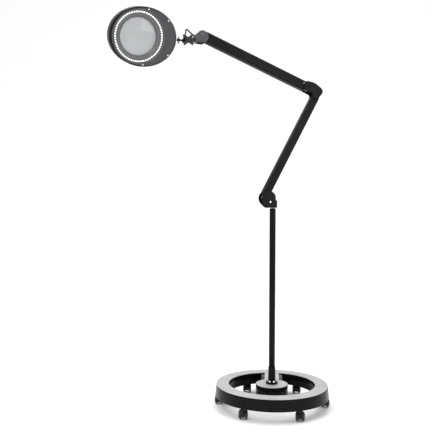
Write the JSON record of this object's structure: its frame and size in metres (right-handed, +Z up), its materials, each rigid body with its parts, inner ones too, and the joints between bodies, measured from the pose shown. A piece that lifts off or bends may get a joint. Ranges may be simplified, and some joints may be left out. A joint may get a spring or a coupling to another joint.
{
  "type": "magnifying lamp",
  "caption": "Floor-standing LED magnifying lamp: oval head with round lens on a folding sprung arm, pole and ring-shaped rolling base.",
  "frame": {"origin": "on the floor under the pole's axis, at the centre of the ring base", "axes": "+Z up along the pole; -Y towards the user, the side that the lens and light face; +X to the user's right, the side that the lower arm leans to"},
  "size_m": [0.7605, 0.4913, 1.3927],
  "materials": {
    "black_paint": "gloss black powder coat",
    "silver_plate": "satin silver, lightly textured",
    "caster_black": "moulded black, soft shine",
    "wheel_tread": "nylon, scuffed",
    "bare_steel": "turned",
    "spring_steel": "wound wire",
    "chrome": "polished",
    "black_plastic": "fine-grained black moulding",
    "grey_plastic": "satin dark grey",
    "face_grey": "satin mid grey",
    "lid_grey": "satin grey",
    "board": "white solder mask",
    "diffuser": "beaded clear-white moulding",
    "glass": "polished lens",
    "lead": "matt black sheath"
  },
  "bodies": {
    "base": {"ring_casting": "black_paint", "ring_top_plate": "silver_plate", "hub_and_bridge": "black_paint", "hub_top_plate": "silver_plate", "bridge_strip": "silver_plate", "pole_socket": "black_paint", "pole_tube": "black_paint", "pole_foot_bolt": "bare_steel", "pole_top_bush": "black_plastic", "socket_screw_left": "chrome", "socket_screw_right": "chrome"},
    "caster_1": {"caster_1_hood": "caster_black"},
    "caster_1_wheel_pair": {"caster_1_wheels": "wheel_tread"},
    "caster_2": {"caster_2_hood": "caster_black"},
    "caster_2_wheel_pair": {"caster_2_wheels": "wheel_tread"},
    "caster_3": {"caster_3_hood": "caster_black"},
    "caster_3_wheel_pair": {"caster_3_wheels": "wheel_tread"},
    "caster_4": {"caster_4_hood": "caster_black"},
    "caster_4_wheel_pair": {"caster_4_wheels": "wheel_tread"},
    "caster_5": {"caster_5_hood": "caster_black"},
    "caster_5_wheel_pair": {"caster_5_wheels": "wheel_tread"},
    "caster_6": {"caster_6_hood": "caster_black"},
    "caster_6_wheel_pair": {"caster_6_wheels": "wheel_tread"},
    "shoulder": {"swivel_spigot": "bare_steel", "shoulder_fork": "black_plastic", "shoulder_pivot_pin": "bare_steel", "shoulder_clamp_screw": "chrome"},
    "lower_arm": {"lower_arm_cover_rear": "black_plastic", "lower_arm_cover_front": "black_plastic", "lower_arm_bar": "bare_steel", "lower_arm_spring": "spring_steel"},
    "lower_strap": {"lower_tension_strap": "bare_steel"},
    "elbow": {"elbow_housing": "black_plastic", "elbow_lower_pin": "bare_steel", "elbow_upper_pin": "bare_steel"},
    "upper_arm": {"upper_arm_cover_rear": "black_plastic", "upper_arm_cover_front": "black_plastic", "upper_arm_bar": "bare_steel", "upper_arm_spring": "spring_steel"},
    "upper_strap": {"upper_tension_strap": "bare_steel"},
    "wrist": {"wrist_cap": "grey_plastic", "wrist_pin": "bare_steel", "wrist_lead": "lead"},
    "neck": {"neck_yoke": "black_paint", "knob_stud": "chrome"},
    "knob": {"clamp_knob": "black_plastic"},
    "swivel_rod": {"neck_rod": "bare_steel"},
    "head": {"head_casing": "black_plastic", "front_plate": "face_grey", "led_board": "board", "led_diffuser": "diffuser", "lens_bezel": "face_grey", "lens": "glass", "led_driver": "board", "head_clevis": "black_paint", "knuckle_pin": "bare_steel", "lid_hinge_bracket": "black_plastic", "lid_hinge_pin": "bare_steel"},
    "button": {"power_button": "grey_plastic"},
    "lid": {"dust_cover": "lid_grey"}
  },
  "joints": [
    {"name": "caster_1_swivel", "type": "hinge", "parent": "base", "child": "caster_1", "pos_m": [-0.09625, -0.16671, 0], "axis": [0, 0, 1], "continuous": true},
    {"name": "caster_1_spin", "type": "hinge", "parent": "caster_1", "child": "caster_1_wheel_pair", "pos_m": [-0.09625, -0.15471, 0.017], "axis": [1, 0, 0], "continuous": true},
    {"name": "caster_2_swivel", "type": "hinge", "parent": "base", "child": "caster_2", "pos_m": [0.09625, -0.16671, 0], "axis": [0, 0, 1], "continuous": true},
    {"name": "caster_2_spin", "type": "hinge", "parent": "caster_2", "child": "caster_2_wheel_pair", "pos_m": [0.09625, -0.15471, 0.017], "axis": [1, 0, 0], "continuous": true},
    {"name": "caster_3_swivel", "type": "hinge", "parent": "base", "child": "caster_3", "pos_m": [0.1925, 0, 0], "axis": [0, 0, 1], "continuous": true},
    {"name": "caster_3_spin", "type": "hinge", "parent": "caster_3", "child": "caster_3_wheel_pair", "pos_m": [0.1925, 0.012, 0.017], "axis": [1, 0, 0], "continuous": true},
    {"name": "caster_4_swivel", "type": "hinge", "parent": "base", "child": "caster_4", "pos_m": [0.09625, 0.16671, 0], "axis": [0, 0, 1], "continuous": true},
    {"name": "caster_4_spin", "type": "hinge", "parent": "caster_4", "child": "caster_4_wheel_pair", "pos_m": [0.09625, 0.17871, 0.017], "axis": [1, 0, 0], "continuous": true},
    {"name": "caster_5_swivel", "type": "hinge", "parent": "base", "child": "caster_5", "pos_m": [-0.09625, 0.16671, 0], "axis": [0, 0, 1], "continuous": true},
    {"name": "caster_5_spin", "type": "hinge", "parent": "caster_5", "child": "caster_5_wheel_pair", "pos_m": [-0.09625, 0.17871, 0.017], "axis": [1, 0, 0], "continuous": true},
    {"name": "caster_6_swivel", "type": "hinge", "parent": "base", "child": "caster_6", "pos_m": [-0.1925, 0, 0], "axis": [0, 0, 1], "continuous": true},
    {"name": "caster_6_spin", "type": "hinge", "parent": "caster_6", "child": "caster_6_wheel_pair", "pos_m": [-0.1925, 0.012, 0.017], "axis": [1, 0, 0], "continuous": true},
    {"name": "arm_swivel", "type": "hinge", "parent": "base", "child": "shoulder", "pos_m": [0, 0, 0.7225], "axis": [0, 0, 1], "range_deg": [-170, 170]},
    {"name": "lower_tilt", "type": "hinge", "parent": "shoulder", "child": "lower_arm", "pos_m": [-0.03316, -0.01477, 0.7599], "axis": [-0.4067, 0.9135, 0], "range_deg": [-53, 26]},
    {"name": "lower_strap_tilt", "type": "hinge", "parent": "shoulder", "child": "lower_strap", "pos_m": [-0.02539, -0.0113, 0.75755], "axis": [-0.4067, 0.9135, 0], "range_deg": [-53, 26]},
    {"name": "elbow_level", "type": "hinge", "parent": "lower_arm", "child": "elbow", "pos_m": [0.15895, 0.07077, 1.1464], "axis": [-0.4067, 0.9135, 0], "range_deg": [-26, 53]},
    {"name": "upper_tilt", "type": "hinge", "parent": "elbow", "child": "upper_arm", "pos_m": [0.12295, 0.05474, 1.1678], "axis": [-0.4067, 0.9135, 0], "range_deg": [-50, 49]},
    {"name": "upper_strap_tilt", "type": "hinge", "parent": "elbow", "child": "upper_strap", "pos_m": [0.11957, 0.05323, 1.15797], "axis": [-0.4067, 0.9135, 0], "range_deg": [-50, 49]},
    {"name": "wrist_level", "type": "hinge", "parent": "upper_arm", "child": "wrist", "pos_m": [-0.25313, -0.1127, 1.32311], "axis": [-0.4067, 0.9135, 0], "range_deg": [-49, 50]},
    {"name": "head_pitch", "type": "hinge", "parent": "wrist", "child": "neck", "pos_m": [-0.29881, -0.13304, 1.29911], "axis": [-0.4067, 0.9135, 0], "range_deg": [-50, 40], "deforming": ["wrist_lead"]},
    {"name": "knob_turn", "type": "hinge", "parent": "neck", "child": "knob", "pos_m": [-0.29881, -0.13304, 1.29911], "axis": [-0.4067, 0.9135, 0], "range_deg": [-180, 90]},
    {"name": "head_tilt", "type": "hinge", "parent": "neck", "child": "swivel_rod", "pos_m": [-0.29881, -0.13304, 1.29911], "axis": [0.9135, 0.4067, 0], "range_deg": [-45, 75]},
    {"name": "head_swivel", "type": "hinge", "parent": "swivel_rod", "child": "head", "pos_m": [-0.32686, -0.14553, 1.29911], "axis": [0.1324, -0.2974, 0.9455], "range_deg": [-70, 25]},
    {"name": "button_press", "type": "slide", "parent": "head", "child": "button", "axis": [0.4474, -0.8333, -0.3248], "range_m": [0, 0.002], "stiffness_N_per_m": 600},
    {"name": "lid_open", "type": "hinge", "parent": "head", "child": "lid", "pos_m": [-0.39842, -0.1549, 1.30618], "axis": [0.1324, -0.2974, 0.9455], "range_deg": [-110, 0]}
  ],
  "couplings": [
    {"joint": "lower_strap_tilt", "follows": "lower_tilt", "ratio": 1},
    {"joint": "elbow_level", "follows": "lower_tilt", "ratio": -1},
    {"joint": "upper_strap_tilt", "follows": "upper_tilt", "ratio": 1},
    {"joint": "wrist_level", "follows": "upper_tilt", "ratio": -1}
  ]
}
